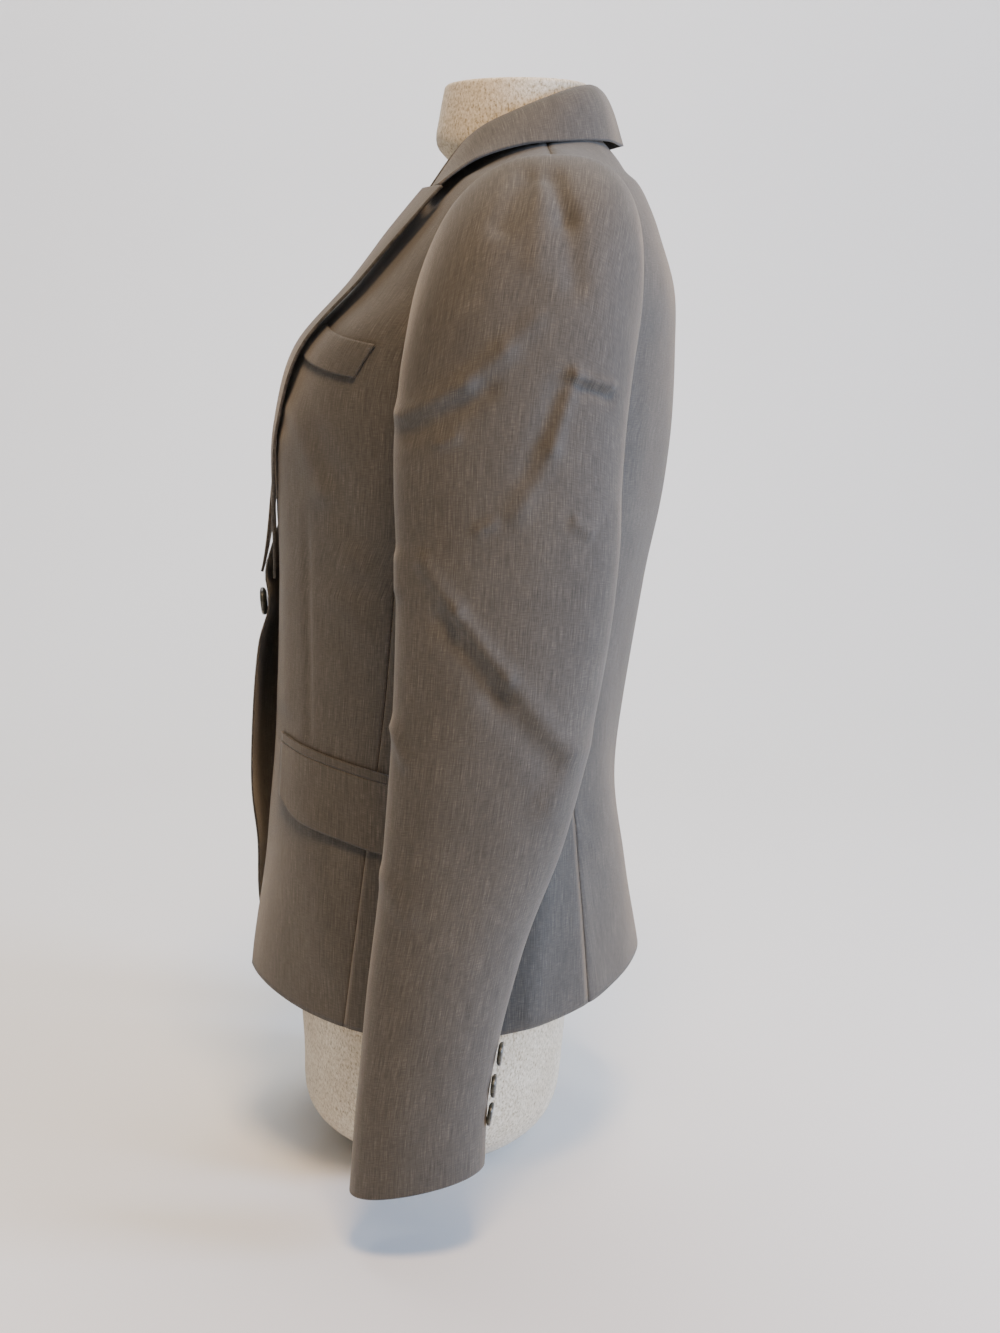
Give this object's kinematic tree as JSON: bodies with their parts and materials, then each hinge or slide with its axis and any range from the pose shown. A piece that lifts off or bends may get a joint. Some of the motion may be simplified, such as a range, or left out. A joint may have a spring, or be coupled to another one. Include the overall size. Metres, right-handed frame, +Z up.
{
  "type": "single breasted blazer on dress form",
  "caption": "Single breasted blazer with notch lapels, flap pockets and a breast welt, worn by a limbless dress form on a flat base.",
  "frame": {"origin": "middle of the flat base of the dress form, on the surface that it stands on", "axes": "+Z up, the wearer faces -Y, the wearer's left is +X"},
  "size_m": [0.5442, 0.2979, 0.74],
  "materials": {
    "suiting": "woven",
    "horn": "polished",
    "linen": "woven"
  },
  "bodies": {
    "root": {"back_left": "suiting", "back_right": "suiting", "breast_welt": "suiting", "collar": "suiting", "collar_stand": "suiting", "cuff_button_left_1": "horn", "cuff_button_left_2": "horn", "cuff_button_left_3": "horn", "cuff_button_right_1": "horn", "cuff_button_right_2": "horn", "cuff_button_right_3": "horn", "dress_form": "linen", "front_button": "horn", "front_left": "suiting", "front_right": "suiting", "lapel_left": "suiting", "lapel_right": "suiting", "pocket_flap_left": "suiting", "pocket_flap_right": "suiting", "pocket_jet_left": "suiting", "pocket_jet_right": "suiting", "side_panel_left": "suiting", "side_panel_right": "suiting", "topsleeve_left": "suiting", "topsleeve_right": "suiting", "undersleeve_left": "suiting", "undersleeve_right": "suiting"}
  },
  "joints": []
}
